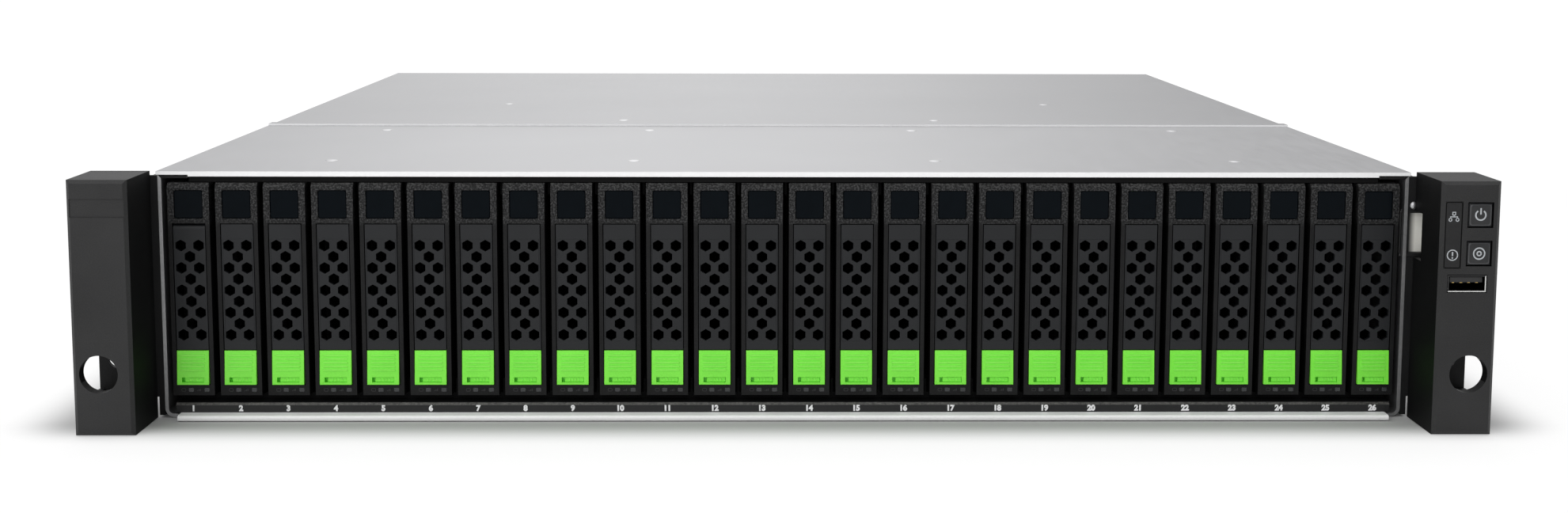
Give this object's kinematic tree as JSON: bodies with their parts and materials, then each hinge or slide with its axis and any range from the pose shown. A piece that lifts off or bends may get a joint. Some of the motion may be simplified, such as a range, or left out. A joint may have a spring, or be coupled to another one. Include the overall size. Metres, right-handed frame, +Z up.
{
  "type": "rack storage array",
  "caption": "Two-unit rack storage array: sheet steel chassis, rack ears, sliding drive trays with vented levers and thumb latches, and rear controllers and power modules.",
  "frame": {"origin": "middle of the array's footprint, on the surface that it stands on", "axes": "+X to the right seen from the front, +Y from the front to the rear, +Z up"},
  "size_m": [0.4826, 0.53, 0.088],
  "materials": {
    "steel": "satin galvanised",
    "module_case": "satin",
    "screw": "zinc plated",
    "steel_shell": "nickel plated",
    "ear_plastic": "fine texture",
    "black_plastic": "matt",
    "tray_plastic": "fine texture",
    "green_plastic": "satin",
    "dark_window": "gloss",
    "cream_film": "satin film",
    "board": "solder mask",
    "tray": "charcoal, textured"
  },
  "bodies": {
    "chassis": {"chassis_base": "steel", "front_cover": "steel", "rear_cover": "steel", "upper_guides": "black_plastic", "lower_guides": "black_plastic", "number_strip": "black_plastic", "midplane": "board", "rear_frame": "steel", "left_bracket": "steel", "right_bracket": "steel", "bracket_screws": "screw", "left_ear": "ear_plastic", "right_ear": "ear_plastic", "indicator_window": "dark_window", "usb_socket": "steel_shell", "control_board": "board", "ribbon_cable": "cream_film"},
    "tray_01": {"drive_tray_01": "tray"},
    "tray_02": {"drive_tray_02": "tray"},
    "tray_03": {"drive_tray_03": "tray"},
    "tray_04": {"drive_tray_04": "tray"},
    "tray_05": {"drive_tray_05": "tray"},
    "tray_06": {"drive_tray_06": "tray"},
    "tray_07": {"drive_tray_07": "tray"},
    "tray_08": {"drive_tray_08": "tray"},
    "tray_09": {"drive_tray_09": "tray"},
    "tray_10": {"drive_tray_10": "tray"},
    "tray_11": {"drive_tray_11": "tray"},
    "tray_12": {"drive_tray_12": "tray"},
    "tray_13": {"drive_tray_13": "tray"},
    "tray_14": {"drive_tray_14": "tray"},
    "tray_15": {"drive_tray_15": "tray"},
    "tray_16": {"drive_tray_16": "tray"},
    "tray_17": {"drive_tray_17": "tray"},
    "tray_18": {"drive_tray_18": "tray"},
    "tray_19": {"drive_tray_19": "tray"},
    "tray_20": {"drive_tray_20": "tray"},
    "tray_21": {"drive_tray_21": "tray"},
    "tray_22": {"drive_tray_22": "tray"},
    "tray_23": {"drive_tray_23": "tray"},
    "tray_24": {"drive_tray_24": "tray"},
    "tray_25": {"drive_tray_25": "tray"},
    "tray_26": {"drive_tray_26": "tray"},
    "tray_01_lever": {"tray_lever_01": "tray_plastic"},
    "tray_01_latch": {"tray_latch_01": "green_plastic"},
    "tray_01_lock": {"tray_lock_01": "green_plastic"},
    "power_button": {"power_button": "ear_plastic"},
    "locate_button": {"locate_button": "ear_plastic"},
    "controller_lower": {"controller_lower": "steel"},
    "controller_lever_lower": {"controller_lever_lower": "green_plastic"},
    "controller_upper": {"controller_upper": "steel"},
    "controller_lever_upper": {"controller_lever_upper": "green_plastic"},
    "power_module_right": {"power_module_right": "module_case"},
    "module_handle_right": {"module_handle_right": "black_plastic"},
    "fan_right": {"fan_rotor_right": "black_plastic"},
    "rocker_right": {"power_rocker_right": "black_plastic"},
    "power_module_left": {"power_module_left": "module_case"},
    "module_handle_left": {"module_handle_left": "black_plastic"},
    "fan_left": {"fan_rotor_left": "black_plastic"},
    "rocker_left": {"power_rocker_left": "black_plastic"}
  },
  "joints": [
    {"name": "tray_01_slide", "type": "slide", "parent": "chassis", "child": "tray_01", "axis": [0, -1, 0], "range_m": [0, 0.15]},
    {"name": "tray_02_slide", "type": "slide", "parent": "chassis", "child": "tray_02", "axis": [0, -1, 0], "range_m": [0, 0.15]},
    {"name": "tray_03_slide", "type": "slide", "parent": "chassis", "child": "tray_03", "axis": [0, -1, 0], "range_m": [0, 0.15]},
    {"name": "tray_04_slide", "type": "slide", "parent": "chassis", "child": "tray_04", "axis": [0, -1, 0], "range_m": [0, 0.15]},
    {"name": "tray_05_slide", "type": "slide", "parent": "chassis", "child": "tray_05", "axis": [0, -1, 0], "range_m": [0, 0.15]},
    {"name": "tray_06_slide", "type": "slide", "parent": "chassis", "child": "tray_06", "axis": [0, -1, 0], "range_m": [0, 0.15]},
    {"name": "tray_07_slide", "type": "slide", "parent": "chassis", "child": "tray_07", "axis": [0, -1, 0], "range_m": [0, 0.15]},
    {"name": "tray_08_slide", "type": "slide", "parent": "chassis", "child": "tray_08", "axis": [0, -1, 0], "range_m": [0, 0.15]},
    {"name": "tray_09_slide", "type": "slide", "parent": "chassis", "child": "tray_09", "axis": [0, -1, 0], "range_m": [0, 0.15]},
    {"name": "tray_10_slide", "type": "slide", "parent": "chassis", "child": "tray_10", "axis": [0, -1, 0], "range_m": [0, 0.15]},
    {"name": "tray_11_slide", "type": "slide", "parent": "chassis", "child": "tray_11", "axis": [0, -1, 0], "range_m": [0, 0.15]},
    {"name": "tray_12_slide", "type": "slide", "parent": "chassis", "child": "tray_12", "axis": [0, -1, 0], "range_m": [0, 0.15]},
    {"name": "tray_13_slide", "type": "slide", "parent": "chassis", "child": "tray_13", "axis": [0, -1, 0], "range_m": [0, 0.15]},
    {"name": "tray_14_slide", "type": "slide", "parent": "chassis", "child": "tray_14", "axis": [0, -1, 0], "range_m": [0, 0.15]},
    {"name": "tray_15_slide", "type": "slide", "parent": "chassis", "child": "tray_15", "axis": [0, -1, 0], "range_m": [0, 0.15]},
    {"name": "tray_16_slide", "type": "slide", "parent": "chassis", "child": "tray_16", "axis": [0, -1, 0], "range_m": [0, 0.15]},
    {"name": "tray_17_slide", "type": "slide", "parent": "chassis", "child": "tray_17", "axis": [0, -1, 0], "range_m": [0, 0.15]},
    {"name": "tray_18_slide", "type": "slide", "parent": "chassis", "child": "tray_18", "axis": [0, -1, 0], "range_m": [0, 0.15]},
    {"name": "tray_19_slide", "type": "slide", "parent": "chassis", "child": "tray_19", "axis": [0, -1, 0], "range_m": [0, 0.15]},
    {"name": "tray_20_slide", "type": "slide", "parent": "chassis", "child": "tray_20", "axis": [0, -1, 0], "range_m": [0, 0.15]},
    {"name": "tray_21_slide", "type": "slide", "parent": "chassis", "child": "tray_21", "axis": [0, -1, 0], "range_m": [0, 0.15]},
    {"name": "tray_22_slide", "type": "slide", "parent": "chassis", "child": "tray_22", "axis": [0, -1, 0], "range_m": [0, 0.15]},
    {"name": "tray_23_slide", "type": "slide", "parent": "chassis", "child": "tray_23", "axis": [0, -1, 0], "range_m": [0, 0.15]},
    {"name": "tray_24_slide", "type": "slide", "parent": "chassis", "child": "tray_24", "axis": [0, -1, 0], "range_m": [0, 0.15]},
    {"name": "tray_25_slide", "type": "slide", "parent": "chassis", "child": "tray_25", "axis": [0, -1, 0], "range_m": [0, 0.15]},
    {"name": "tray_26_slide", "type": "slide", "parent": "chassis", "child": "tray_26", "axis": [0, -1, 0], "range_m": [0, 0.15]},
    {"name": "tray_01_lever_hinge", "type": "hinge", "parent": "tray_01", "child": "tray_01_lever", "pos_m": [-0.20813, -0.2356, 0.0669], "axis": [-1, 0, 0], "range_deg": [0, 60]},
    {"name": "tray_01_latch_press", "type": "slide", "parent": "tray_01", "child": "tray_01_latch", "axis": [0, 1, 0], "range_m": [0, 0.0015], "stiffness_N_per_m": 500},
    {"name": "tray_01_lock_slide", "type": "slide", "parent": "tray_01_latch", "child": "tray_01_lock", "axis": [-1, 0, 0], "range_m": [0, 0.001]},
    {"name": "power_button_press", "type": "slide", "parent": "chassis", "child": "power_button", "axis": [0, 1, 0], "range_m": [0, 0.0012], "stiffness_N_per_m": 500},
    {"name": "locate_button_press", "type": "slide", "parent": "chassis", "child": "locate_button", "axis": [0, 1, 0], "range_m": [0, 0.0012], "stiffness_N_per_m": 500},
    {"name": "controller_lower_slide", "type": "slide", "parent": "chassis", "child": "controller_lower", "axis": [0, 1, 0], "range_m": [0, 0.2]},
    {"name": "controller_lever_lower_hinge", "type": "hinge", "parent": "controller_lower", "child": "controller_lever_lower", "pos_m": [0.104, 0.256, 0.0355], "axis": [0, 0, -1], "range_deg": [0, 85]},
    {"name": "controller_upper_slide", "type": "slide", "parent": "chassis", "child": "controller_upper", "axis": [0, 1, 0], "range_m": [0, 0.2]},
    {"name": "controller_lever_upper_hinge", "type": "hinge", "parent": "controller_upper", "child": "controller_lever_upper", "pos_m": [0.104, 0.256, 0.0779], "axis": [0, 0, -1], "range_deg": [0, 85]},
    {"name": "power_module_right_slide", "type": "slide", "parent": "chassis", "child": "power_module_right", "axis": [0, 1, 0], "range_m": [0, 0.2]},
    {"name": "module_handle_right_hinge", "type": "hinge", "parent": "power_module_right", "child": "module_handle_right", "pos_m": [0.15266, 0.2563, 0.077], "axis": [1, 0, 0], "range_deg": [0, 90]},
    {"name": "fan_right_spin", "type": "hinge", "parent": "power_module_right", "child": "fan_right", "pos_m": [0.15266, 0.2335, 0.043], "axis": [0, 1, 0], "continuous": true},
    {"name": "rocker_right_tip", "type": "hinge", "parent": "power_module_right", "child": "rocker_right", "pos_m": [0.2025, 0.2475, 0.06], "axis": [1, 0, 0], "range_deg": [0, 20]},
    {"name": "power_module_left_slide", "type": "slide", "parent": "chassis", "child": "power_module_left", "axis": [0, 1, 0], "range_m": [0, 0.2]},
    {"name": "module_handle_left_hinge", "type": "hinge", "parent": "power_module_left", "child": "module_handle_left", "pos_m": [-0.15266, 0.2563, 0.077], "axis": [1, 0, 0], "range_deg": [0, 90]},
    {"name": "fan_left_spin", "type": "hinge", "parent": "power_module_left", "child": "fan_left", "pos_m": [-0.15266, 0.2335, 0.043], "axis": [0, 1, 0], "continuous": true},
    {"name": "rocker_left_tip", "type": "hinge", "parent": "power_module_left", "child": "rocker_left", "pos_m": [-0.2025, 0.2475, 0.06], "axis": [1, 0, 0], "range_deg": [0, 20]}
  ]
}
